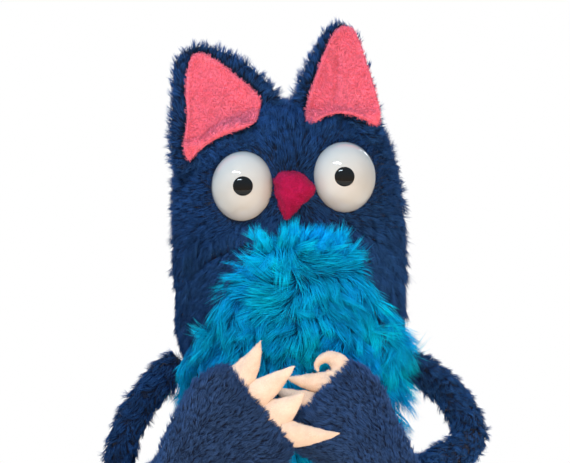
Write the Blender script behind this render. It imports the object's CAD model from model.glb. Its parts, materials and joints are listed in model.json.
"""Looks of the moving mouth puppet: fur pile, felt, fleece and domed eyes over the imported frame.

Shapes are worked out in millimetres and turned into metres where a mesh is made.
"""
import bmesh
import bpy
import json
import math
import numpy as np
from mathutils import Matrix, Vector, kdtree


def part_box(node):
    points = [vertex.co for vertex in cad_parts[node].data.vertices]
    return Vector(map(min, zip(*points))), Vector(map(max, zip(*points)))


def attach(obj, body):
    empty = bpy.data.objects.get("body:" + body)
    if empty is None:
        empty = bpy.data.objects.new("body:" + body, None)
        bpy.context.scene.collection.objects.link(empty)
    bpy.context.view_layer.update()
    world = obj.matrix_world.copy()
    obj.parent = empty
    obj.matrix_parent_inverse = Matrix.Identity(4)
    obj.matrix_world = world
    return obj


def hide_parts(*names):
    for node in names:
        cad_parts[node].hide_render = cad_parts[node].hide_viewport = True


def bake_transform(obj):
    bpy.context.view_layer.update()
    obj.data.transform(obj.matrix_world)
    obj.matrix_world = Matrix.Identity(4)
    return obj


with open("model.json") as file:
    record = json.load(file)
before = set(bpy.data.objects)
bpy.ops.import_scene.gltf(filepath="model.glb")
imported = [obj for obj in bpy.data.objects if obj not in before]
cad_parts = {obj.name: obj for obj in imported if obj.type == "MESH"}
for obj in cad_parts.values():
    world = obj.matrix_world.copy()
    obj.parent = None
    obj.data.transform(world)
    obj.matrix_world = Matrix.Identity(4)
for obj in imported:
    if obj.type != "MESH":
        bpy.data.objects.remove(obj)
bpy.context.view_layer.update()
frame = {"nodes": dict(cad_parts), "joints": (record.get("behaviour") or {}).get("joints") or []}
scene = bpy.context.scene
MM = 0.001
SIDES = ("left", "right")
JOINT = {j["name"]: np.array(j["pos_m"]) / MM for j in frame["joints"]}
PIVOT = JOINT["jaw_open"]


def box(node):
    low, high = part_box(node)
    return np.array(low) / MM, np.array(high) / MM


# ------------ numbers
def unit(v):
    return v / np.maximum(np.linalg.norm(v, axis=-1, keepdims=True), 1e-9)


def circle(count):
    """Evenly spaced angles once round."""
    return np.linspace(0, 2 * math.pi, count, endpoint=False)


def ease(x, low, high):
    t = np.clip((x - low) / (high - low), 0, 1)
    return t * t * (3 - 2 * t)


def through(points, count, closed=False):
    """Points evenly spaced along a smooth curve through the given ones."""
    p = np.asarray(points, float)
    ends = [p[-1:], p, p[:2]] if closed else [2 * p[:1] - p[1:2], p, 2 * p[-1:] - p[-2:-1]]
    p = np.vstack(ends)
    t = np.linspace(0, 1, 17)[:-1, None]
    spans = [0.5 * (2 * b + (c - a) * t + (2 * a - 5 * b + 4 * c - d) * t**2 + (3 * b - a - 3 * c + d) * t**3)
             for a, b, c, d in zip(p, p[1:], p[2:], p[3:])]
    line = np.vstack([*spans, p[-2][None]])
    run = np.concatenate([[0], np.cumsum(np.linalg.norm(np.diff(line, axis=0), axis=1))])
    at = np.linspace(0, run[-1], count, endpoint=not closed)
    return np.stack([np.interp(at, run, line[:, k]) for k in range(line.shape[1])], 1)


def drift(p, size, seed, waves=12):
    """Smooth random vectors, about -1 to 1, that change over a distance of size."""
    random = np.random.default_rng(seed)
    pitch = random.normal(0, 3.6 / size, (waves, 3))
    phase = random.uniform(0, 2 * math.pi, (waves, 3))
    along = p @ pitch.T
    return np.stack([np.sin(along + phase[:, k]).sum(1) for k in range(3)], 1) / math.sqrt(waves)


def paint(red, green, blue):
    """Linear colour from 0-255 screen values."""
    c = np.array([red, green, blue]) / 255
    return np.where(c <= 0.04045, c / 12.92, ((c + 0.055) / 1.055) ** 2.4)


# ------------ materials
class Look:
    """A node material built up round one Principled shader."""

    def __init__(self, name, **sockets):
        self.material = bpy.data.materials.new(name)
        self.material.use_nodes = True
        self.tree = self.material.node_tree
        self.shader = self.tree.nodes["Principled BSDF"]
        for socket, value in sockets.items():
            self.shader.inputs[socket.replace("_", " ")].default_value = value
        self.place = self.add("TexCoord").outputs["Object"]

    def add(self, kind, inputs=None, **props):
        node = self.tree.nodes.new("ShaderNode" + kind)
        for prop, value in props.items():
            setattr(node, prop, value)
        for socket, value in (inputs or {}).items():
            if isinstance(value, bpy.types.NodeSocket):
                self.tree.links.new(value, node.inputs[socket])
            else:
                node.inputs[socket].default_value = value
        return node

    def put(self, socket, value):
        self.tree.links.new(value, self.shader.inputs[socket])

    def noise(self, scale, detail=3.0, rough=0.55, stretch=None):
        at = self.place
        if stretch is not None:
            at = self.add("Mapping", {"Vector": at, "Scale": stretch}).outputs[0]
        inputs = {"Vector": at, "Scale": scale, "Detail": detail, "Roughness": rough}
        return self.add("TexNoise", inputs).outputs[0]

    def ramp(self, factor, stops):
        node = self.add("ValToRGB", {"Fac": factor})
        marks = node.color_ramp.elements
        while len(marks) < len(stops):
            marks.new(0.5)
        for mark, (position, colour) in zip(marks, stops):
            mark.position = position
            mark.color = (*(paint(*colour) if isinstance(colour, tuple) else (colour,) * 3), 1)
        return node.outputs[0]

    def tone(self, socket, factor, *stops):
        self.put(socket, self.ramp(factor, stops))

    def mix(self, factor, one, other, blend="MIX"):
        node = self.add("Mix", {}, data_type="RGBA", blend_type=blend)
        for socket, value in ((0, factor), (6, one), (7, other)):
            if isinstance(value, bpy.types.NodeSocket):
                self.tree.links.new(value, node.inputs[socket])
            elif socket:
                node.inputs[socket].default_value = (*value, 1)
            else:
                node.inputs[socket].default_value = value
        return node.outputs[2]

    def bump(self, height, strength, distance):
        node = self.add("Bump", {"Height": height, "Strength": strength, "Distance": distance})
        self.put("Normal", node.outputs[0])


def fur_look(name):
    """Pile: each strand carries its own colour, and a slow drift of shade runs over the cloth."""
    look = Look(name, Roughness=0.6, Specular_IOR_Level=0.1)
    tint = look.add("Attribute", attribute_name="fur_tint").outputs["Color"]
    shade = look.ramp(look.noise(38, 4), [(0.3, 0.84), (0.7, 1.14)])
    look.put("Base Color", look.mix(1.0, tint, shade, "MULTIPLY"))
    look.tone("Roughness", look.noise(900, 2), (0.3, 0.52), (0.7, 0.72))
    return look.material


def cloth_look(name, dark, light, pitch=1400, sheen=0.3):
    """Woven or knitted backing: two crossed threads with a slow change of shade."""
    look = Look(name, Roughness=0.9, Sheen_Weight=sheen, Sheen_Roughness=0.5, Specular_IOR_Level=0.2)
    thread = {"Vector": look.place, "Scale": pitch / 6.3, "Distortion": 0.6, "Detail": 1.0}
    waves = [look.add("TexWave", thread, bands_direction=axis).outputs[1] for axis in ("X", "Z")]
    weave = look.mix(0.5, waves[0], waves[1], "MULTIPLY")
    slow = look.noise(45, 4)
    look.tone("Base Color", look.mix(0.55, weave, slow), (0.15, dark), (0.75, light))
    look.tone("Roughness", slow, (0.3, 0.82), (0.7, 0.9))
    look.bump(weave, 0.5, 0.0004)
    return look.material


def felt_look(name, dark, light, sheen=0.5, depth=0.0006, fibre=2300, blotch=70):
    """Matted wool or brushed fleece: crossed fibres over soft blotches."""
    look = Look(name, Roughness=0.92, Sheen_Weight=sheen, Sheen_Roughness=0.55, Specular_IOR_Level=0.15)
    one = look.noise(fibre, 3, 0.6, (1, 1, 0.22))
    other = look.noise(fibre, 3, 0.6, (0.22, 1, 1))
    matted = look.mix(0.5, one, other)
    soft = look.noise(blotch, 4)
    look.tone("Base Color", look.mix(0.6, matted, soft), (0.32, dark), (0.66, light))
    look.tone("Roughness", soft, (0.3, 0.86), (0.7, 0.97))
    look.bump(matted, 0.6, depth)
    return look.material


def gloss_look(name, dark, light, rough, coat):
    """Polished moulding with faint flow marks and fine wear."""
    look = Look(name, Roughness=rough, Coat_Weight=coat, Coat_Roughness=0.03, Specular_IOR_Level=0.3)
    flow = look.noise(28, 3, 0.5)
    look.tone("Base Color", flow, (0.3, dark), (0.7, light))
    look.tone("Roughness", look.noise(420, 3), (0.35, rough), (0.75, rough + 0.06))
    look.bump(flow, 0.04, 0.0008)
    return look.material


def foam_look(name, dark, light):
    """Open-cell foam: small pores of two sizes."""
    look = Look(name, Roughness=0.95, Specular_IOR_Level=0.1)
    pores = look.add("TexVoronoi", {"Vector": look.place, "Scale": 620.0}).outputs["Distance"]
    fine = look.noise(1500, 3)
    cells = look.mix(0.4, pores, fine)
    look.tone("Base Color", cells, (0.1, dark), (0.5, light))
    look.tone("Roughness", fine, (0.3, 0.9), (0.7, 1.0))
    look.bump(cells, 0.7, 0.0008)
    return look.material


NAVY = fur_look("navy_pile")
MITTEN = fur_look("mitten_pile")
TURQUOISE = fur_look("turquoise_pile")
FUZZ = fur_look("felt_fuzz")
NAVY_CLOTH = cloth_look("navy_backing", (11, 19, 38), (23, 38, 66))
MITTEN_CLOTH = cloth_look("mitten_backing", (14, 21, 40), (28, 42, 70))
TURQUOISE_CLOTH = cloth_look("turquoise_backing", (0, 52, 92), (4, 92, 142))
COTTON = cloth_look("cotton_lining", (20, 30, 58), (38, 52, 88), pitch=1900, sheen=0.1)
BINDING = cloth_look("binding_tape", (16, 22, 44), (30, 40, 72), pitch=1200, sheen=0.1)
WEBBING = cloth_look("woven_webbing", (10, 10, 13), (40, 40, 46), pitch=1000, sheen=0.1)
FLEECE = felt_look("pink_fleece", (204, 80, 104), (236, 116, 138), 0.1, 0.0008, 1500, 60)
MAGENTA = felt_look("magenta_felt", (122, 5, 50), (168, 18, 74), 0.05, 0.0007, 1900)
CREAM = felt_look("cream_felt", (196, 172, 156), (224, 204, 190), 0.0, 0.0005, 2100)
WINE = felt_look("mouth_felt", (46, 10, 20), (84, 22, 38), 0.3)
ROSE = felt_look("tongue_felt", (186, 70, 96), (228, 112, 134), 0.4)
WHITE = gloss_look("eye_white", (178, 180, 181), (192, 193, 193), 0.06, 1.0)
BLACK = gloss_look("pupil_black", (7, 6, 6), (15, 13, 12), 0.05, 0.25)
NYLON = gloss_look("moulded_nylon", (214, 212, 204), (232, 230, 224), 0.35, 0.0)
BOARD = gloss_look("palate_board", (38, 38, 42), (56, 56, 60), 0.5, 0.0)
FOAM = foam_look("cut_foam", (176, 168, 140), (232, 226, 204))


# ------------ meshes
def linked(name, data):
    """A new object in the scene."""
    obj = bpy.data.objects.new(name, data)
    scene.collection.objects.link(obj)
    return obj


def piece(name, verts, faces, material, slot):
    mesh = bpy.data.meshes.new(name)
    mesh.from_pydata((np.asarray(verts) * MM).tolist(), [], [[int(i) for i in f] for f in faces])
    mesh.materials.append(material)
    tidy(mesh)
    return linked(name, mesh)


def tidy(mesh):
    """Faces turned outwards and shaded smooth."""
    work = bmesh.new()
    work.from_mesh(mesh)
    bmesh.ops.recalc_face_normals(work, faces=work.faces)
    work.to_mesh(mesh)
    work.free()
    mesh.shade_smooth()


def evaluated(obj):
    """A mesh of the object as its modifiers leave it."""
    return bpy.data.meshes.new_from_object(obj.evaluated_get(bpy.context.evaluated_depsgraph_get()))


def applied(obj, kind, **settings):
    """Adds a modifier and makes its result the object's own mesh."""
    modifier = obj.modifiers.new(kind.title(), kind)
    for prop, value in settings.items():
        setattr(modifier, prop, value)
    done = evaluated(obj)
    obj.modifiers.clear()
    obj.data = done
    done.shade_smooth()
    return obj


def grid(rows, columns, closed=False):
    """Quads between rows of points; a closed grid joins its last column to its first."""
    r, c = np.meshgrid(np.arange(rows - 1), np.arange(columns if closed else columns - 1), indexing="ij")
    n = (c + 1) % columns
    here, above = r * columns, (r + 1) * columns
    return np.stack([here + c, here + n, above + n, above + c], -1).reshape(-1, 4)


def capped(rings):
    """Rings of points as one closed form: rows joined, and a point closing each end."""
    rows, columns = rings.shape[:2]
    verts = np.vstack([rings.reshape(-1, 3), rings[0].mean(0), rings[-1].mean(0)])
    first, last = rows * columns, rows * columns + 1
    around = np.arange(columns)
    after = (around + 1) % columns
    base = (rows - 1) * columns
    faces = [*grid(rows, columns, True), *np.stack([after, around, np.full(columns, first)], 1),
             *np.stack([base + around, base + after, np.full(columns, last)], 1)]
    return verts, faces


def swept(line, side, other, wide, deep, c, s):
    """Rings round a line: wide and deep are half sizes along it, c and s run round the section."""
    return line[:, None] + (wide[:, None, None] * c[None, :, None] * side[:, None]
                            + deep[:, None, None] * s[None, :, None] * other[:, None])


def skin_of(obj):
    """Corner points, triangles and point normals of a finished mesh, for growing pile on."""
    mesh = obj.data
    mesh.calc_loop_triangles()
    verts = np.empty(len(mesh.vertices) * 3)
    normals = np.empty(len(mesh.vertices) * 3)
    tris = np.empty(len(mesh.loop_triangles) * 3, np.int32)
    mesh.vertices.foreach_get("co", verts)
    mesh.vertices.foreach_get("normal", normals)
    mesh.loop_triangles.foreach_get("vertices", tris)
    return verts.reshape(-1, 3) / MM, tris.reshape(-1, 3), normals.reshape(-1, 3)
def move_points(obj, verts):
    obj.data.vertices.foreach_set("co", (verts * MM).ravel())


def node_points(node):
    """Points of one of the frame's own solids."""
    return np.array([v.co for v in frame["nodes"][node].data.vertices]) / MM


def remeshed(name, node, size):
    """A new object from the frame's solid, rebuilt with evenly sized faces."""
    obj = linked(name, frame["nodes"][node].data.copy())
    return applied(obj, "REMESH", mode="VOXEL", voxel_size=size * MM)


def faced(obj, material):
    obj.data.materials.clear()
    obj.data.materials.append(material)
    return obj


def stand_for(obj, body, *nodes):
    """The finished piece takes the place of the frame's nodes and moves with a body."""
    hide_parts(*nodes)
    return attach(obj, body)

def part_of(skin, keep):
    """The triangles of a skin whose middles lie where keep says."""
    verts, tris, normals = skin
    return verts, tris[keep(verts[tris].mean(1))], normals


# ------------ pile
# strands along each side of the square baking layout, and most strands in a panel of the long pile
CELLS = 128
LONG_PANEL = 12000
FLOOR_GAP = 0.8
# by the number of rings in a strand: how far up each ring lies, and its share of the full width
PROFILE = {2: ((0, 0.5), (1, 0.8)), 3: ((0, 0.36, 0.7), (1, 0.92, 0.6))}


def scatter(skin, count, random, keep):
    """Roots spread evenly over a skin, with their normals."""
    verts, tris, normals = skin
    a, b, c = (verts[tris[:, k]] for k in range(3))
    run = np.cumsum(np.linalg.norm(np.cross(b - a, c - a), axis=1))
    pick = np.searchsorted(run, (np.arange(count) + random.random(count)) / count * run[-1])
    u, v = random.random((2, count))
    beyond = u + v > 1
    u, v = np.where(beyond, 1 - u, u)[:, None], np.where(beyond, 1 - v, v)[:, None]
    corner = tris[np.minimum(pick, len(tris) - 1)]
    roots, out = ((1 - u - v) * w[corner[:, 0]] + u * w[corner[:, 1]] + v * w[corner[:, 2]]
                  for w in (verts, normals))
    out = unit(out)
    kept = keep(roots, out) if keep else np.ones(count, bool)
    return roots[kept], out[kept]


def tufts(roots, size, random):
    """For each root, the index of the tuft leader it belongs to."""
    count = max(2, len(roots) // size)
    leaders = random.choice(len(roots), count, replace=False)
    tree = kdtree.KDTree(count)
    for n, leader in enumerate(leaders):
        tree.insert(roots[leader], n)
    tree.balance()
    return leaders[np.array([tree.find(p)[1] for p in roots])]


def over(value, roots):
    """A number, or a function of place worked out at each root."""
    return value(roots) if callable(value) else np.full(len(roots), float(value))


def grow(name, body, skin, count, slot, material, root, tip, length, width, comb, lean=0.6, rings=2, tuft=14,
         pull=0.6, scatter_way=0.3, whorl=0.25, keep=None, seed=1, order=None, tip_too=None, vary=1.0):
    """Fur as fine closed cones, in tufts that lean the way comb gives, in panels that ride on the body."""
    random = np.random.default_rng(seed)
    root, tip = paint(*root), paint(*tip)
    roots, out = scatter(skin, count, random, keep)
    turn = np.argsort(order(roots) if order else np.arctan2(roots[:, 0], -roots[:, 1]), kind="stable")
    roots, out = roots[turn], out[turn]
    count = len(roots)
    leader = tufts(roots, tuft, random)
    way = unit(comb(roots, out) + whorl * drift(roots, 26, seed + 1))
    way = unit(way - out * (way * out).sum(1, keepdims=True))
    loose = random.normal(0, 1, (count, 3))
    loose = scatter_way * (0.55 * loose + 0.85 * loose[leader])
    tilt = over(lean, roots)[:, None]
    aim = unit(out * (1 - tilt) + way * tilt + loose)
    reach = over(length, roots)
    shade = random.normal(0, 1, count)
    reach = reach * np.clip(1 + 0.10 * shade + 0.17 * shade[leader], 0.55, 1.5)
    end = roots + aim * reach[:, None]
    gather = pull * random.uniform(0.55, 1, (count, 1))
    end = end * (1 - gather) + (end[leader] + 0.22 * (roots - roots[leader])) * gather
    end[:, 2] = np.maximum(end[:, 2], FLOOR_GAP)
    middle = roots + (out + aim) * reach[:, None] / 4
    middle[:, 2] = np.maximum(middle[:, 2], FLOOR_GAP)

    stops, sizes = PROFILE[rings]
    angles = np.arange(3) * 2 * math.pi / 3
    side = unit(np.cross(end - roots, out + 0.3 * loose + 1e-3))
    per = 3 * rings + 1
    points = np.empty((count, per, 3), np.float32)
    shades = np.empty((count, per, 4), np.float32)
    tone = np.clip(1 + vary * (0.12 * shade + 0.13 * shade[leader]), 0.5, 1.6)[:, None]
    if tip_too is not None:
        share = np.clip(0.45 + 0.35 * drift(roots, 45, seed + 2)[:, 0] + 0.22 * shade[leader], 0, 1)[:, None]
        tip = tip + (paint(*tip_too) - tip) * share
    for n, (t, size) in enumerate(zip(stops, sizes)):
        centre = (1 - t) ** 2 * roots + 2 * t * (1 - t) * middle + t * t * end
        along = unit((1 - t) * (middle - roots) + t * (end - middle))
        across = unit(np.cross(along, side))
        for k, angle in enumerate(angles):
            around = math.cos(angle) * side + math.sin(angle) * across
            points[:, 3 * n + k] = centre + width / 2 * size * around
            shades[:, 3 * n + k, :3] = (root + (tip - root) * t ** 0.8) * tone
    points[:, -1] = end
    shades[:, -1, :3] = tip * tone * 1.06
    shades[:, :, 3] = 1

    faces, spots = strand_faces(rings)
    panels = math.ceil(count / (CELLS * CELLS if rings == 2 else LONG_PANEL))
    made = []
    for n, part in enumerate(np.array_split(np.arange(count), panels), start=1):
        panel = f"{name}_{n}" if panels > 1 else name
        made.append(strand_mesh(panel, points[part], shades[part], faces, spots, material))
        if body:
            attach(made[-1], body)
    return made


def strand_faces(rings):
    """Faces of one strand, and where each face corner lies in the strand's own cell of the layout."""
    faces, spots = [[0, 2, 1]], [[(0, 0), (1, 0), (0.5, 0.08)]]
    for n in range(rings - 1):
        low, high = 0.1 + 0.9 * n / rings, 0.1 + 0.9 * (n + 1) / rings
        for k in range(3):
            m = (k + 1) % 3
            faces.append([3 * n + k, 3 * n + m, 3 * n + 3 + m, 3 * n + 3 + k])
            spots.append([(k / 3, low), ((k + 1) / 3, low), ((k + 1) / 3, high), (k / 3, high)])
    last = 3 * (rings - 1)
    for k in range(3):
        faces.append([last + k, last + (k + 1) % 3, 3 * rings])
        spots.append([(k / 3, 1 - 0.9 / rings), ((k + 1) / 3, 1 - 0.9 / rings), ((k + 0.5) / 3, 1)])
    return faces, np.array([s for face in spots for s in face])


def strand_mesh(name, points, shades, faces, spots, material):
    count, per = points.shape[:2]
    corners = np.array([i for face in faces for i in face])
    starts = np.concatenate([[0], np.cumsum([len(face) for face in faces])[:-1]])
    step = np.arange(count)[:, None]
    mesh = bpy.data.meshes.new(name)
    mesh.vertices.add(count * per)
    mesh.vertices.foreach_set("co", (points * MM).ravel())
    mesh.loops.add(count * len(corners))
    mesh.loops.foreach_set("vertex_index", (corners + step * per).ravel().astype(np.int32))
    mesh.polygons.add(count * len(faces))
    mesh.polygons.foreach_set("loop_start", (starts + step * len(corners)).ravel().astype(np.int32))
    cell = np.stack([step % CELLS, step // CELLS], -1)
    layout = mesh.uv_layers.new(name="OFBake")
    layout.data.foreach_set("uv", ((cell + 0.1 + 0.8 * spots) / CELLS).astype(np.float32).ravel())
    mesh.color_attributes.new("fur_tint", "FLOAT_COLOR", "POINT").data.foreach_set("color", shades.ravel())
    mesh.update(calc_edges=True)
    mesh.shade_smooth()
    mesh.materials.append(material)
    return linked(name, mesh)


# ------------ camera, light and floor
SENSOR = 36
VIEW_DISTANCE = 1.9
VIEW_WIDTH = 0.399
FACE_FRONT = 0.06
aim_at = Vector((-2.8, 0, 312)) * MM
camera = linked("camera", bpy.data.cameras.new("camera"))
camera.location = aim_at + Vector((0, -VIEW_DISTANCE - FACE_FRONT, 0))
camera.rotation_euler = (math.pi / 2, 0, 0)
camera.data.sensor_width = SENSOR
camera.data.lens = SENSOR * VIEW_DISTANCE / VIEW_WIDTH
camera.data.clip_end = 20
scene.camera = camera


def lamp(name, place, target, power, wide, high, colour, mirrored=True):
    light = bpy.data.lights.new(name, "AREA")
    light.shape = "RECTANGLE"
    light.size, light.size_y, light.energy, light.color = wide, high, power, colour
    obj = linked(name, light)
    obj.location = place
    obj.visible_glossy = mirrored
    obj.rotation_euler = (Vector(target) - Vector(place)).to_track_quat("-Z", "Y").to_euler()


belly = (0, 0, 0.3)
lamp("key", (-0.7, -1.05, 1.55), belly, 24, 0.9, 0.13, (0.74, 0.89, 1.0))
lamp("fill", (0.9, -1.4, 0.3), belly, 4, 1.0, 0.5, (0.96, 0.97, 1.0), mirrored=False)
lamp("bounce", (0.2, -1.0, 0.07), (0, 0, 0.38), 10, 1.2, 0.1, (1.0, 0.64, 0.34), mirrored=False)
lamp("rim", (0.4, 1.3, 1.2), belly, 8, 0.9, 0.6, (0.9, 0.95, 1.0))

world = bpy.data.worlds.new("studio")
scene.world = world
world.use_nodes = True
nodes = world.node_tree.nodes
nodes.clear()
ends = {key: nodes.new("ShaderNode" + kind) for key, kind in (
    ("out", "OutputWorld"), ("mix", "MixShader"), ("path", "LightPath"), ("seen", "Background"),
    ("room", "Background"), ("ramp", "ValToRGB"), ("split", "SeparateXYZ"), ("spot", "TexCoord"),
    ("scale", "MapRange"))}
ends["seen"].inputs["Color"].default_value = (1, 1, 1, 1)
ends["room"].inputs["Strength"].default_value = 0.6
ends["scale"].inputs["From Min"].default_value = -1
warm, cool = ends["ramp"].color_ramp.elements
warm.position, warm.color = 0.25, (1.0, 0.78, 0.56, 1)
cool.position, cool.color = 0.7, (0.6, 0.82, 1.0, 1)
for start, socket, end, entry in (
        ("spot", "Generated", "split", 0), ("split", "Z", "scale", "Value"), ("scale", 0, "ramp", 0),
        ("ramp", 0, "room", "Color"), ("path", "Is Camera Ray", "mix", 0), ("room", 0, "mix", 1),
        ("seen", 0, "mix", 2), ("mix", 0, "out", 0)):
    world.node_tree.links.new(ends[start].outputs[socket], ends[end].inputs[entry])
scene.view_settings.view_transform = "Standard"

floor_look = Look("studio_floor", Roughness=0.8)
floor_tones = [(0.3, (238, 227, 215)), (0.7, (245, 235, 224))]
floor_look.put("Base Color", floor_look.ramp(floor_look.noise(3), floor_tones))
FLOOR_RADIUS = 0.8
around_floor = circle(96)
floor_rim = np.stack([np.sin(around_floor), np.cos(around_floor), 0 * around_floor], 1)
floor_mesh = bpy.data.meshes.new("floor")
floor_mesh.from_pydata((floor_rim * FLOOR_RADIUS).tolist(), [], [list(range(len(floor_rim)))])
floor_mesh.materials.append(floor_look.material)
linked("floor", floor_mesh)

# ------------ forms of the head, jaw and sleeve
# the jaw rolls inside a ball round its hinge, and the neck's cloth lies on a slightly larger one
BALL, NECK_BALL, BINDING_BALL = 80, 83, 82.3
# the mouth plane's slope, the lips' half depth and half width in plan, and each lip's gap off the plane
TILT = math.radians(39)
RISE = math.tan(TILT)
LIP_DEPTH, LIP_HALF, LIP_GAP = 67, 81, 3 / math.cos(TILT)
# height, half width, half depth of the level ovals, from the throat to the crown and from hem to collar
HEAD = [(165, 76, 60), (215, 79, 64), (262, 80, 66), (310, 81, 67), (350, 79, 65), (380, 71, 57),
        (396, 54, 42), (403, 26, 20), (404.5, 0.4, 0.3)]
SLEEVE = [(0, 66, 48), (95, 68, 50), (175, 72, 52), (215, 75, 54), (252, 77, 56)]
head_line = through(HEAD, 600)
sleeve_line = through(SLEEVE, 300)
AROUND = 160
turn = np.linspace(-math.pi, math.pi, AROUND, endpoint=False)


def crown_lean(z):
    """How far the crown leans to the viewer's left."""
    return 0.045 * np.maximum(z - 300, 0)


def lip_reach(x):
    """How far in front of the hinge the lips lie."""
    return LIP_DEPTH * np.sqrt(1 - (x / LIP_HALF) ** 2)


def lip_top(x):
    """Height of the jaw cloth's upper edge."""
    return PIVOT[2] + lip_reach(x) * RISE - LIP_GAP

def oval(line, z):
    return np.interp(z, line[:, 0], line[:, 1]), np.interp(z, line[:, 0], line[:, 2])


def head_point(share, angle):
    """Point of the head cloth, share of the way up its side line, at an angle round from the face."""
    at = share * (len(head_line) - 1)
    z, rx, ry = (np.interp(at, np.arange(len(head_line)), head_line[:, k]) for k in range(3))
    x, y = rx * np.sin(angle), -ry * np.cos(angle)
    room = np.sqrt(np.maximum(BALL ** 2 - np.minimum(z - PIVOT[2], 0) ** 2, 1))
    shrink = np.minimum(1, room / np.maximum(np.hypot(x, y), 1e-6))
    shrink = np.where(z < PIVOT[2], shrink, 1)
    return np.stack([x * shrink - crown_lean(z), y * shrink, z], -1)


def head_foot(angle):
    """Height of the head cloth's lower edge: the upper lip in front, down beside the jaw, and the neck."""
    a = np.abs(angle)
    lip = PIVOT[2] + LIP_DEPTH * np.cos(a) * RISE + LIP_GAP
    beside = 62.5 / np.maximum(np.sin(a), 0.5)
    cheek = PIVOT[2] - np.sqrt(np.maximum(BALL ** 2 - beside ** 2, 0))
    neck = cheek + (184.5 - cheek) * ease(a, math.radians(84), math.radians(104))
    return np.where(a < math.radians(50.6), lip, neck)


def seam_sides(z):
    """Left and right edges of the turquoise panel, as seen from the front."""
    heights = (210, 228, 247, 266, 282, 291, 299, 303, 306)
    lefts = (-76, -69, -59, -46, -36, -31, -26, -21, -16)
    rights = (86, 79, 71, 61, 53, 48, 44, 39, 34)
    return np.interp(z, heights, lefts), np.interp(z, heights, rights)


def in_panel(p, n=None):
    x, y, z = p.T
    left, right = seam_sides(z)
    edge = 1.6 * drift(p, 14, 77)[:, 0]
    inside = (x > left + edge) & (x < right + edge) & (z < 306 + edge) & (y < 4)
    return np.where(z < 196, (y < -12 + edge) & (z > 45 + edge), inside)


def out_of_panel(p, n=None):
    return ~in_panel(p)


def waver(rows, size, seed):
    """A smooth random number for each point in rows, shaped to multiply the points."""
    return drift(rows.reshape(-1, 3), size, seed)[:, 0].reshape(*rows.shape[:2], 1)


def shell(name, rows, material, slot, thick, body, *nodes, closed=True):
    """Cloth of a thickness laid inside rows of points. Returns its outer skin, for pile."""
    count, columns = rows.shape[:2]
    flat = rows.reshape(-1, 3)
    obj = piece(name, flat, grid(count, columns, closed), material, slot)
    facing = np.array([v.normal for v in obj.data.vertices])
    if ((flat - flat.mean(0)) * facing).sum() < 0:
        obj.data.flip_normals()
    skin = skin_of(obj)
    stand_for(applied(obj, "SOLIDIFY", thickness=thick * MM, offset=-1), body, *nodes)
    return skin


# ---- head
foot_share = np.interp(head_foot(turn), head_line[:, 0], np.linspace(0, 1, len(head_line)))
up = np.linspace(0, 1, 72)[:, None]
head_rows = head_point(foot_share * (1 - up) + 0.999 * up, np.broadcast_to(turn, (len(up), AROUND)))
head_rows = head_rows + 0.6 * waver(head_rows, 30, 5) * unit(head_rows - np.array([0, 0, 300]))
head_skin = shell("head_cloth", head_rows, NAVY_CLOTH, "navy_fur", 1.6, "head", "head_fur")

# ---- jaw
JAW_HALF = 61.5
JAW_HANG = math.sin(math.radians(62))
across = np.linspace(-JAW_HALF, JAW_HALF, 56)
jaw_rows = np.empty((46, len(across), 3))
for n, x in enumerate(across):
    drop = math.sqrt(BALL ** 2 - x * x)
    z = np.linspace(PIVOT[2] - drop * JAW_HANG, lip_top(x), len(jaw_rows))
    rx, ry = oval(head_line, z)
    y = -ry * np.sqrt(1 - (x / rx) ** 2)
    ball_y = -np.sqrt(np.maximum(drop ** 2 - np.minimum(z - PIVOT[2], 0) ** 2, 0))
    jaw_rows[:, n] = np.stack([np.full(len(z), x), np.where(z < PIVOT[2], np.maximum(y, ball_y), y), z], 1)
jaw_skin = shell("jaw_cloth", jaw_rows, TURQUOISE_CLOTH, "turquoise_fur", 1.6, "jaw", "jaw_fur", closed=False)


# ---- sleeve body, lining, hem and neck binding
def sleeve_rows(inset, low, drop, count):
    """Rows up the sleeve, from a height to just below the ball-shaped neck."""
    out = np.empty((count, AROUND, 3))
    for n, angle in enumerate(turn):
        top = 220.0
        for _ in range(12):
            rx, ry = oval(sleeve_line, top)
            r = math.hypot((rx - inset) * math.sin(angle), (ry - inset) * math.cos(angle))
            top = 0.5 * top + 0.5 * (PIVOT[2] - math.sqrt(NECK_BALL ** 2 - r * r))
        z = np.linspace(low, top - drop, count)
        rx, ry = oval(sleeve_line, z)
        out[:, n] = np.stack([(rx - inset) * math.sin(angle), -(ry - inset) * math.cos(angle), z], 1)
    return out


body_rows = sleeve_rows(0, 0.4, 0, 66)
body_rows[:, :, :2] *= 1 + 0.006 * waver(body_rows, 45, 9)
body_skin = shell("body_cloth", body_rows, NAVY_CLOTH, "navy_fur", 2.0, "torso", "body_fur", "chest_fur")

lining_rows = sleeve_rows(3.6, 1.5, 3, 50)
lining_rows[:, :, :2] *= 1 - 0.006 * (1 + waver(lining_rows, 16, 12))
shell("sleeve_lining", lining_rows, COTTON, "lining_cotton", 0.9, "torso", "body_lining")

hem_rows = np.stack([sleeve_rows(4.9 + 0.5 * math.sin(math.pi * t), 0.3, 0, 2)[0] + [0, 0, 13.5 * t]
                     for t in np.linspace(0, 1, 9)])
shell("hem_fold", hem_rows, COTTON, "lining_cotton", 0.9, "torso", "hem_band")

binding_rows = []
for angle in np.radians(np.linspace(25, 35, 7)):
    radius = (BINDING_BALL - 0.2 * math.cos(9 * angle)) * math.sin(angle)
    height = PIVOT[2] - BINDING_BALL * math.cos(angle)
    binding_rows.append(np.stack([radius * np.sin(turn), -radius * np.cos(turn), np.full(AROUND, height)], 1))
shell("neck_binding_tape", np.array(binding_rows), BINDING, "lining_cotton", 1.4, "neck", "neck_binding")

# ------------ mouth plates and foam
to_lip = np.array([0, -math.cos(TILT), math.sin(TILT)])
off_plate = np.array([0, math.sin(TILT), math.cos(TILT)])


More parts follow.
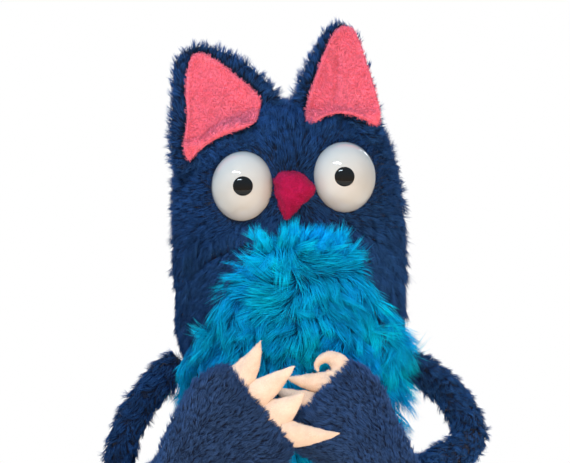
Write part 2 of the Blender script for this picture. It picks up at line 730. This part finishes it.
def mouth_ply(name, level, start, node, body):
    """Felt plate that fills the mouth out to the lip, its face at a level off the mouth plane."""
    x = np.linspace(-60, 60, 48)
    reach = lip_reach(x) / math.cos(TILT) - 3
    along = start + (reach - start) * np.linspace(0, 1, 40)[:, None]
    flat = np.stack([np.broadcast_to(x, along.shape), along, 0 * along], -1)
    ripples = 0.3 * waver(flat, 24, 31)
    rows = PIVOT + flat[..., :1] * [1, 0, 0] + flat[..., 1:2] * to_lip + (level + ripples) * off_plate
    obj = piece(name, rows.reshape(-1, 3), grid(*along.shape), WINE, "mouth_felt")
    obj = applied(obj, "SOLIDIFY", thickness=1.2 * MM, offset=0)
    stand_for(applied(obj, "SUBSURF", levels=1, render_levels=1), body, node)


mouth_ply("upper_mouth_lining", 2.2, 2, "upper_mouth_felt", "head")
mouth_ply("lower_mouth_lining", -2.2, 5, "lower_mouth_felt", "jaw")


def foam_block(name, node, body):
    """Carved foam: the frame's block with softened edges, an uneven cut surface and a slack cover."""
    obj = applied(remeshed(name, node, 2.4), "SMOOTH", factor=0.5, iterations=4)
    verts, _, normals = skin_of(obj)
    verts = verts + normals * (0.35 * drift(verts, 9, 3)[:, :1] - 0.35)
    rx, ry = (half - 4 for half in oval(head_line, verts[:, 2]))
    lean = crown_lean(verts[:, 2])
    fit = 1 / np.maximum(np.hypot((verts[:, 0] + lean) / rx, verts[:, 1] / ry), 1)
    fit = np.where(verts[:, 2] > 290, fit, 1)
    move_points(obj, np.stack([(verts[:, 0] + lean) * fit - lean, verts[:, 1] * fit, verts[:, 2]], 1))
    stand_for(faced(obj, FOAM), body, node)


foam_block("head_foam", "skull_foam", "head")
foam_block("chin_foam", "jaw_foam", "jaw")

tongue_outline = through([(14, -13), (14, 0), (14, 13), (30, 16), (45, 16.5), (55, 11), (58, 0), (55, -11),
                          (45, -16.5), (30, -16)], 72, True)
tongue_rings = []
for a in np.linspace(0, math.pi, 13):
    share = 0.04 + 0.96 * math.sin(a) ** 0.45
    line = tongue_outline.mean(0) + (tongue_outline - tongue_outline.mean(0)) * share
    groove = 0.55 * np.exp(-(line[:, 1] / 1.6) ** 2) * (a < math.pi / 2)
    level = (-0.45 + 0.95 * math.cos(a) - groove)[:, None]
    tongue_rings.append(PIVOT + line[:, :1] * to_lip + line[:, 1:] * [1, 0, 0] + level * off_plate)
stand_for(piece("felt_tongue", *capped(np.array(tongue_rings)), ROSE, "tongue_felt"), "jaw", "tongue")

# ------------ eyes and nose
def middle_and_half(node):
    low, high = box(node)
    return (low + high) / 2, (high - low) / 2


def dome(name, node, depth, sunk, steps, material, slot):
    """Closed dome facing forwards, with a softened edge and a flat back."""
    middle, half = middle_and_half(node)
    back = box(node)[1][1] - sunk
    rings = []
    profile = [(math.sin(a), math.cos(a)) for a in np.linspace(math.radians(1.5), math.pi / 2, steps)]
    profile += [(1.0, -0.03), (0.985, -0.05), (0.95, -0.06), (0.4, -0.06)]
    around = circle(96)
    for share, height in profile:
        rings.append(np.stack([middle[0] + half[0] * share * np.cos(around),
                               np.full(len(around), back - depth * height),
                               middle[2] + half[2] * share * np.sin(around)], 1))
    stand_for(piece(name, *capped(np.array(rings)), material, slot), "head", node)


for side in SIDES:
    dome(f"eye_dome_{side}", f"eye_{side}", 25, 0, 40, WHITE, "eye_white")
    dome(f"eye_pupil_{side}", f"pupil_{side}", 3.4, 0.6, 24, BLACK, "pupil_black")


def padded_form(name, outline, place, front, back, material, slot, steps=15, fullness=0.5):
    """Closed pad over an outline. place(flat, height) gives the points; rows run front, edge, back."""
    middle = outline.mean(0)
    rings = []
    for a in np.linspace(math.radians(3), math.pi - math.radians(3), 2 * steps + 1):
        share = math.sin(a) ** fullness
        line = middle + (outline - middle) * share
        rings.append(place(line, (front if a < math.pi / 2 else back) * math.cos(a)))
    return piece(name, *capped(np.array(rings)), material, slot)


nose_low, nose_high = box("nose")
nose_middle = (nose_low + nose_high) / 2
nose_outline = through([(-12.3, 9.5), (-5.5, 14.6), (2, 15.2), (9, 11.6), (15, 5.6), (15.6, 0.5), (9.5, -6.3),
                        (1.5, -14), (-3, -18.4), (-7.4, -13), (-11, -2.5)], 84, True)


def nose_place(line, height):
    """Maps the flat nose outline to the face, thinner towards its lower tip."""
    swell = 1 - 0.25 * np.exp(-((line[:, 0] - 1) / 4) ** 2 - ((line[:, 1] + 14) / 6) ** 2)
    y = nose_high[1] - height * swell - 0.05 * (line[:, 1] + 8)
    return np.stack([nose_middle[0] + line[:, 0], y, nose_middle[2] + line[:, 1]], 1)


nose = padded_form("felt_nose", nose_outline, nose_place, nose_high[1] - nose_low[1] - 1, 1.5, MAGENTA,
                   "magenta_felt", fullness=0.7)
verts, _, normals = skin_of(nose)
move_points(nose, verts + normals * 0.45 * drift(verts, 7, 4)[:, :1])
stand_for(nose, "head", "nose")

# ------------ ears
LEAN = math.radians(14)
# sideways roll, height of the foot, and outlines of the fleece and of the whole ear, measured from a place
EARS = {
    "left": dict(
        roll=22, foot=364, at=(-71, 362.8),
        inner=[(0, 0), (-3, 12), (-1, 30), (-2, 50), (0, 68), (4, 75.5), (13, 74), (24, 67), (34, 59),
               (44, 50.5), (50.5, 42), (49, 32), (46, 24.5), (39, 21), (27, 17.5), (16, 12), (7, 5.5)],
        outer=[(-9, -4), (-13, 16), (-12, 44), (-11, 68), (-4, 78), (8, 82.5), (20, 79.5), (35, 73),
               (48, 62.5), (60, 50), (65, 34), (58, 18), (34, 6), (12, -2)]),
    "right": dict(
        roll=-18, foot=397, at=(12, 391.5),
        inner=[(0, 0), (2, 14), (7, 30), (12, 44), (18, 58), (25, 66), (33, 65), (38, 56), (43, 40),
               (48, 24), (52, 6), (50, -4), (42, -1), (32, 2.5), (22, 3.5), (13, 1), (5, -3)],
        outer=[(-10, -4), (-8, 14), (-2, 30), (5, 46), (12, 60), (20, 68), (30, 68.5), (37, 61),
               (42, 44), (46, 26), (51, 6), (52, -10), (40, -12), (18, -12)]),
}


def over_head(points, gap):
    """Points moved forwards, where needed, to lie a gap in front of the head cloth."""
    x, y, z = points.T
    rx, ry = oval(head_line, z)
    across = np.clip((x + crown_lean(z)) / rx, -1, 1)
    return np.stack([x, np.minimum(y, -ry * np.sqrt(1 - across ** 2) - gap * (np.abs(across) < 1)), z], 1)


def ear_place(side):
    """Maps a flat ear outline to its leaning plane; heights stand forwards of it."""
    spec = EARS[side]
    roll = math.radians(spec["roll"])
    forward = np.array([-math.sin(roll) * math.sin(LEAN), -math.cos(LEAN), math.cos(roll) * math.sin(LEAN)])
    low, _ = box(f"ear_fleece_{side}")

    def place(line, height):
        x, z = spec["at"][0] + line[:, 0], spec["at"][1] + line[:, 1]
        y = low[1] - (forward[0] * (x - low[0]) + forward[2] * (z - spec["foot"])) / forward[1]
        return over_head(np.stack([x, y, z], 1), 4.2) + forward * np.broadcast_to(height, x.shape)[:, None]
    return place


def past_ear(side, p):
    """How far points lie outside the outline of an ear's fleece, seen from the front, where it lies close."""
    at = np.array(EARS[side]["at"])
    inner = through(EARS[side]["inner"], 120, True)
    centre = inner.mean(0)
    edge = inner - centre
    bearing = np.arctan2(edge[:, 1], edge[:, 0])
    turned = np.argsort(bearing)
    flat = p[:, [0, 2]] - at - centre
    around = np.interp(np.arctan2(flat[:, 1], flat[:, 0]), bearing[turned], np.hypot(*edge[turned].T),
                       period=2 * math.pi)
    front = ear_place(side)(p[:, [0, 2]] - at, 0)[:, 1]
    return np.where(p[:, 1] - front < 9, np.hypot(flat[:, 0], flat[:, 1]) - around, 99)


def fold_height(side, line, share):
    """How far the fleece stands forwards: cupped, with a soft fold and a fuller lip below it."""
    u, v = line[:, 0], line[:, 1]
    cup = -2.2 * (1 - share ** 2) + 1.1 * np.exp(-((share - 0.93) / 0.06) ** 2)
    if side == "left":
        drop = np.interp(u, (-3, 7, 15, 23, 34, 44), (13, 16, 21, 26, 29, 28.7)) - v
        return cup - 1.5 * np.exp(-(drop / 1.5) ** 2) + 4.2 * np.exp(-((drop - 6) / 4.0) ** 2)
    crease = np.exp(-((u - 20.5 - 0.05 * v) / 2.2) ** 2) * ease(v, 2, 14) * (1 - ease(v, 44, 54))
    lip = np.exp(-((v - 2) / 4.5) ** 2)
    return cup - 1.6 * crease + 2.6 * lip


def ear(side):
    """Plush shell and cupped fleece of one ear. Returns both, and the middle of the fleece's outline."""
    place = ear_place(side)
    plush = padded_form(f"ear_shell_{side}", through(EARS[side]["outer"], 110, True),
                        lambda line, height: place(line, height - 5.4), 1.0, 6.5, NAVY_CLOTH, "navy_fur",
                        steps=12, fullness=0.55)
    stand_for(plush, "head", f"ear_fur_{side}", f"ear_foam_{side}")
    inner = through(EARS[side]["inner"], 120, True)
    middle = inner.mean(0)

    def ring(share, height):
        line = middle + (inner - middle) * share
        return place(line, fold_height(side, line, min(share, 1)) + height)

    rings = [ring(share, 0.4) for share in np.linspace(0.03, 1, 30)]
    rings += [ring(1.012, -0.5), ring(1.0, -1.0)]
    rings += [ring(share, -1.2) for share in np.linspace(0.96, 0.06, 10)]
    fleece = piece(f"ear_lining_{side}", *capped(np.array(rings)), FLEECE, "pink_fleece")
    stand_for(fleece, "head", f"ear_fleece_{side}")
    return plush, fleece, middle


ears = {side: ear(side) for side in SIDES}


# ------------ arms
BENDS = {"left": (-115, -4, 173), "right": (118, -6, 192)}


def tube(name, path, radius, seed):
    """Stuffed navy tube along a smooth path, closed and rounded at both ends."""
    line = through(path, 64)
    along = unit(np.gradient(line, axis=0))
    side = unit(np.cross(along, [0.31, 0.17, 1.0]))
    other = np.cross(along, side)
    around = circle(36)
    share = np.linspace(0, 1, len(line))
    run = np.linalg.norm(np.diff(line, axis=0), axis=1).sum()
    from_end = np.minimum(share, 1 - share) * run / radius
    sizes = radius * np.sqrt(np.clip(1 - np.clip(1 - from_end, 0, 1) ** 2, 0.02, 1))
    rings = swept(line, side, other, sizes, sizes, np.cos(around), np.sin(around))
    rings = rings + 0.7 * drift(rings.reshape(-1, 3), 16, seed).reshape(rings.shape)
    return piece(name, *capped(rings), NAVY_CLOTH, "navy_fur")


arms, cuffs = {}, {}
for side in SIDES:
    shoulder, elbow, wrist = (JOINT[f"{j}_{side}"] for j in ("shoulder_lift", "elbow_open", "wrist_wave"))
    to_wrist = unit(wrist - elbow)
    inward = np.array([-np.sign(shoulder[0]), 0, 0.0])
    route = [shoulder + 8 * inward, shoulder, np.array(BENDS[side], float), elbow,
             elbow + 0.45 * (wrist - elbow), wrist - 19 * to_wrist]
    arms[side] = tube(f"arm_cloth_{side}", route, 9.6, 41)
    covers = [f"{part}_{ply}_{side}" for part in ("upper_arm", "forearm") for ply in ("fur", "stuffing")]
    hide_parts(*covers)
    cuffs[side] = tube(f"cuff_cloth_{side}", [wrist - away * to_wrist for away in (34, 22, 4)], 9.9, 43)

# ------------ mittens
SWELL = 4.0
PUFFING_STEPS = 20


def mitten(side):
    """Padded skin from the frame's solid: blown up as cloth, held within the swell, and smoothed."""
    obj = remeshed(f"mitten_cloth_{side}", f"hand_stuffing_{side}", 4)
    rest, _, normals = skin_of(obj)
    moved = rest + normals * SWELL * 0.5
    cloth = obj.modifiers.new("Cloth", "CLOTH")
    cloth.settings.use_pressure = True
    cloth.settings.uniform_pressure_force = 4
    cloth.settings.effector_weights.gravity = 0
    cloth.settings.quality = 6
    cloth.point_cache.frame_end = PUFFING_STEPS
    for step in range(1, PUFFING_STEPS + 1):
        scene.frame_set(step)
    puffed = evaluated(obj)
    moved = np.empty(len(puffed.vertices) * 3)
    puffed.vertices.foreach_get("co", moved)
    moved = moved.reshape(-1, 3) / MM
    obj.modifiers.clear()
    scene.frame_set(1)
    step = moved - rest
    far = np.linalg.norm(step, axis=1, keepdims=True)
    move_points(obj, rest + step * np.minimum(1, SWELL / np.maximum(far, 1e-6)))
    faced(applied(obj, "SUBSURF", levels=1, render_levels=1), MITTEN_CLOTH)
    return stand_for(obj, f"hand_{side}", f"hand_stuffing_{side}", f"hand_fur_{side}")


mittens = {side: mitten(side) for side in SIDES}

# ------------ claws
# width at the root, sideways hook as a share of the length (upwards is positive)
CLAWS = {"left": [(20.5, 0.16), (22, 0.05), (26, 0.09), (20, 0.1)],
         "right": [(22, 0.0), (17, 0.05), (17, 0.05), (17, 0.05)]}
# the curled claw at the top of the right mitten, from its root to its tip, from the root's place
CURL = [(-1.5, -8), (1.5, -2), (0, 4), (-5.5, 8), (-11.5, 7.5), (-15.5, 3), (-14.5, -1.5)]
CLAW_SUNK = 4


def claw(side, n, wide, hook):
    """Flattened felt cone out of the fingertip seam to the frame's tip, hooked sideways or curled."""
    verts = node_points(f"claw_{side}_{n}")
    tip = verts[np.argmax(((verts - JOINT[f"wrist_wave_{side}"]) ** 2).sum(1))]
    behind = (verts - tip) @ unit(tip - verts.mean(0))
    root = verts[behind < behind.min() + 3].mean(0)
    root = np.array([root[0], tip[1], root[2]])
    steps = np.linspace(0, 1, 26)
    if (side, n) == ("right", 1):
        line = through([(root[0] + x, root[1], root[2] + z) for x, z in CURL], len(steps))
        width = wide / 2 * (1 - 0.93 * steps ** 0.85)
    else:
        reach = np.linalg.norm(tip - root)
        way = unit(tip - root)
        up = np.array([-way[2], 0, way[0]])
        up = up if up[2] > 0 else -up
        bow = hook * reach * (steps ** 2 - steps) * 1.6
        line = root - CLAW_SUNK * way + way * (steps * (reach + CLAW_SUNK))[:, None] + up * bow[:, None]
        width = wide / 2 * (1 - steps ** 1.25) ** 0.92 + 0.35
    along = unit(np.gradient(line, axis=0))
    flat = unit(np.cross(along, [0, 1, 0]))
    thick = 4.4 * (1 - steps ** 1.8) + 0.5
    around = circle(40)
    flattened = np.sin(around) * np.abs(np.sin(around)) ** 0.35
    rings = swept(line, flat, np.array([[0, 1.0, 0]]), width, thick, np.cos(around), flattened)
    rings = rings + 0.22 * drift(rings.reshape(-1, 3), 6, 51).reshape(rings.shape)
    obj = piece(f"felt_claw_{side}_{n}", *capped(rings), CREAM, "cream_felt")
    return stand_for(obj, f"hand_{side}", f"claw_{side}_{n}")


claws = {side: [claw(side, n, *sizes) for n, sizes in enumerate(CLAWS[side], start=1)] for side in SIDES}

# ------------ carried-over parts
eye_fixings = [f"eye_{part}_{side}" for side in SIDES for part in ("stem", "washer")]
for look, names in ((BOARD, ("upper_palate", "lower_palate")), (NYLON, eye_fixings),
                    (WEBBING, ("finger_loop", "thumb_loop", "mouth_hinge_tape"))):
    for name in names:
        data = frame["nodes"][name].data
        data.materials.clear()
        data.materials.append(look)

# ------------ growing the pile
NOSE = np.array([2, -67, 339.0])
WHORL = np.array([9, -66, 281.0])
NAVY_PILE = dict(slot="navy_fur", material=NAVY, root=(20, 40, 76), tip=(42, 86, 148))
MITTEN_PILE = dict(slot="mitten_fur", material=MITTEN, root=(34, 50, 84), tip=(60, 92, 144))


def face_comb(p, n):
    """Away from the nose over the face, and backwards over the sides and crown."""
    away = unit(p - NOSE)
    down = np.array([0, 0, -1.0])
    cheeks = ease(-p[:, 2], -320, -250)[:, None]
    return away + cheeks * down * 0.9


def panel_comb(p, n):
    """Out from a loose whorl below the nose, turning down towards the belly."""
    away = unit((p - WHORL) * [1, 0.4, 1])
    fall = ease(WHORL[2] - p[:, 2], -4, 60)[:, None]
    near = 1 - ease(np.linalg.norm((p - WHORL)[:, [0, 2]], axis=1), 10, 46)[:, None]
    return (away * (1 - 0.45 * fall) + 0.8 * fall * np.array([0.0, 0, -1])
            + (0.42 + 1.0 * near) * drift(p, 26, 91) * [1, 0.3, 1])


def at_lower_lip(p):
    """A band along the jaw's upper edge, over the turquoise."""
    x, _, z = p.T
    return (z > lip_top(x) - 9) & (x > -23) & (x < 41)


def at_upper_lip(p):
    """A band along the head cloth's lower edge, to each side of the turquoise."""
    x, y, z = p.T
    return (z < lip_top(np.clip(x, -62, 62)) + 17) & (y < -30) & ((x < -9) | (x > 33))


def at_nape(p):
    """A band along the head cloth's lower edge, round the sides and the back."""
    angle = np.arctan2(p[:, 0], -p[:, 1])
    return (p[:, 2] < head_foot(angle) + 9) & (np.abs(angle) > math.radians(52))


def lip_comb(p, n):
    x = p[:, 0]
    return np.stack([x / 90 - 0.05, np.full(len(p), -0.1), np.ones(len(p))], 1) + 0.35 * drift(p, 16, 93)


def down_comb(p, n):
    return np.broadcast_to(np.array([0, 0, -1.0]), p.shape) + 0.25 * unit(p * [1, 1, 0])


def eye_share(side, p):
    """Distance from an eye's middle, seen from the front, as a share of the eye's own half size."""
    middle, half = middle_and_half(f"eye_{side}")
    return np.hypot((p[:, 0] - middle[0]) / half[0], (p[:, 2] - middle[2]) / half[2])


def head_length(p):
    """Longer at the cheeks and low on the right, shorter round the eyes, the nose and the ears' feet."""
    x, y, z = p.T
    length = 9.0 + 2.6 * (x / 80) * ease(-z, -330, -270)
    nose_share = np.hypot(x - NOSE[0], z - NOSE[2]) / 15
    near = np.minimum(nose_share, np.minimum(eye_share("left", p), eye_share("right", p)))
    near = np.where(y < 0, near, 9)
    beside = np.minimum(past_ear("left", p), past_ear("right", p))
    return length * (0.5 + 0.5 * ease(near, 1.0, 1.55)) * (0.45 + 0.55 * ease(beside, 0, 9))


def clear_of_features(p, n):
    """No roots under the eyes, under the ears' fleece or outside the navy cloth."""
    free = out_of_panel(p)
    for side in SIDES:
        free &= ~((p[:, 1] < -20) & (eye_share(side, p) ** 2 < 0.92))
        free &= past_ear(side, p) > -1.5
    return free


def panel_length(p):
    """Long over the chest, longer still low on the right, where it hangs out past the body."""
    x, _, z = p.T
    return 17 + 3 * ease(290 - z, 0, 60) + 4 * ease(x, 50, 76) * ease(275 - z, 0, 30)


def panel_lean(p):
    return 0.78 - 0.16 * ease(p[:, 0], 56, 76) * ease(275 - p[:, 2], 0, 30)


NAVY_FUR = dict(**NAVY_PILE, pull=0.3, scatter_way=0.16, vary=0.6, whorl=0.14)
BLUE_FUR = dict(slot="turquoise_fur", material=TURQUOISE, root=(0, 112, 176), tip=(6, 174, 252),
                tip_too=(0, 198, 228), length=panel_length, comb=panel_comb, lean=panel_lean, rings=3,
                tuft=20, pull=0.66, scatter_way=0.22, keep=in_panel)
LIP_FUR = {**BLUE_FUR, "comb": lip_comb, "length": 15, "lean": 0.8, "keep": None}
FELT_FUZZ = dict(material=FUZZ, lean=0.4, scatter_way=0.7, tuft=6, pull=0.1)

grow("head_pile", "head", head_skin, 98000, length=head_length, width=0.4, comb=face_comb, lean=0.74,
     keep=clear_of_features, seed=11, **NAVY_FUR)
grow("lip_pile", "head", part_of(head_skin, at_upper_lip), 11000, length=13, width=0.36, comb=down_comb,
     lean=0.84, seed=18, **NAVY_FUR)
grow("nape_pile", "head", part_of(head_skin, at_nape), 6500, length=15, width=0.38, comb=down_comb, lean=0.86,
     keep=out_of_panel, seed=20, **NAVY_FUR)
grow("cheek_pile", "head", part_of(head_skin, in_panel), 9000, width=0.44, seed=12, **BLUE_FUR)
grow("jaw_pile", "jaw", part_of(jaw_skin, in_panel), 15000, width=0.44, seed=13, **BLUE_FUR)
grow("lip_tufts", "jaw", part_of(jaw_skin, at_lower_lip), 3600, width=0.44, seed=19, **LIP_FUR)
grow("jaw_corner_pile", "jaw", part_of(jaw_skin, out_of_panel), 9000, length=10, width=0.36, comb=face_comb,
     lean=0.72, keep=out_of_panel, seed=14, **NAVY_FUR)
grow("chest_pile", "torso", part_of(body_skin, in_panel), 28000, width=0.5, seed=15, **BLUE_FUR)
grow("body_pile", "torso", part_of(body_skin, out_of_panel), 60000, length=9, width=0.46, comb=down_comb,
     lean=0.74, keep=out_of_panel, seed=16, **NAVY_FUR)


def ear_fur(side):
    """Plush on the back and rim of an ear, and the fleece's short nap."""
    plush, fleece, middle = ears[side]
    at = EARS[side]["at"]

    def outwards(p, n):
        flat = p - np.array([at[0] + middle[0], p[0, 1], at[1] + middle[1] - 26])
        return unit(flat * [1, 0.2, 1]) + np.array([0, 0.25, 0])

    grow(f"ear_pile_{side}", "head", skin_of(plush), 12500, length=6.5, width=0.4, comb=outwards, lean=0.66,
         keep=lambda p, n: (past_ear(side, p) > 0.5) | (n[:, 1] > 0.3), seed=21, tuft=12, pull=0.4,
         scatter_way=0.2, **NAVY_PILE)
    grow(f"ear_fuzz_{side}", "head", skin_of(fleece), 10000, "pink_fleece", FUZZ, (216, 92, 120),
         (250, 138, 164), length=2.3, width=0.3, comb=outwards, lean=0.55,
         keep=lambda p, n: n[:, 1] < -0.1, seed=22, tuft=8, pull=0.3)


def arm_fur(side):
    """Plush along the arm and round the cuff, which both bend at the joints."""
    elbow, wrist = JOINT[f"elbow_open_{side}"], JOINT[f"wrist_wave_{side}"]
    bend = np.array(BENDS[side], float)
    path = through([JOINT[f"shoulder_lift_{side}"], bend, elbow, wrist], 80)
    run = unit(np.gradient(path, axis=0))
    to_bend, to_wrist = unit(bend - elbow), unit(wrist - elbow)

    def limb_comb(p, n):
        nearest = np.argmin(((p[:, None] - path[None, ::4]) ** 2).sum(2), axis=1) * 4
        return run[nearest]

    pile = grow(f"arm_pile_{side}", None, skin_of(arms[side]), 13000, length=6.5, width=0.4, comb=limb_comb,
                lean=0.7, seed=23, pull=0.45, scatter_way=0.22, order=lambda p: -p[:, 2], **NAVY_PILE)
    for obj in (arms[side], *pile):
        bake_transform(obj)
    pile = grow(f"cuff_pile_{side}", None, skin_of(cuffs[side]), 4000, length=7.5, width=0.46, comb=limb_comb,
                lean=0.5, seed=24, **NAVY_PILE)
    for obj in (cuffs[side], *pile):
        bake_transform(obj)


def hand_fur(side):
    """Short plush on the mitten, combed towards the fingertips, and the fine fibres of its felt claws."""
    wrist = JOINT[f"wrist_wave_{side}"]
    fingers = unit(np.mean([node_points(f"claw_{side}_{n}").mean(0) for n in (2, 3)], axis=0) - wrist)

    def hand_comb(p, n):
        spread = unit((p - wrist) * [1, 0, 1])
        return fingers * 0.5 + spread * 0.5 + 0.3 * drift(p, 48, 61)

    grow(f"mitten_pile_{side}", f"hand_{side}", skin_of(mittens[side]), 27000, length=5.5, width=0.37,
         comb=hand_comb, lean=0.68, seed=25, tuft=10, pull=0.25, scatter_way=0.16, whorl=0.12, vary=0.7,
         order=lambda p: p[:, 2], **MITTEN_PILE)
    for n, obj in enumerate(claws[side], start=1):
        grow(f"claw_fuzz_{side}_{n}", f"hand_{side}", skin_of(obj), 1400, "cream_felt",
             root=(206, 184, 168), tip=(232, 214, 200), length=0.9, width=0.16,
             comb=lambda p, n: fingers + 0 * p, seed=26, **FELT_FUZZ)


for side in SIDES:
    ear_fur(side)
    arm_fur(side)
    hand_fur(side)
grow("nose_fuzz", "head", skin_of(nose), 5000, "magenta_felt", root=(140, 14, 62),
     tip=(208, 44, 104), length=1.1, width=0.18, comb=lambda p, n: unit(p - nose_middle), seed=27,
     **FELT_FUZZ)
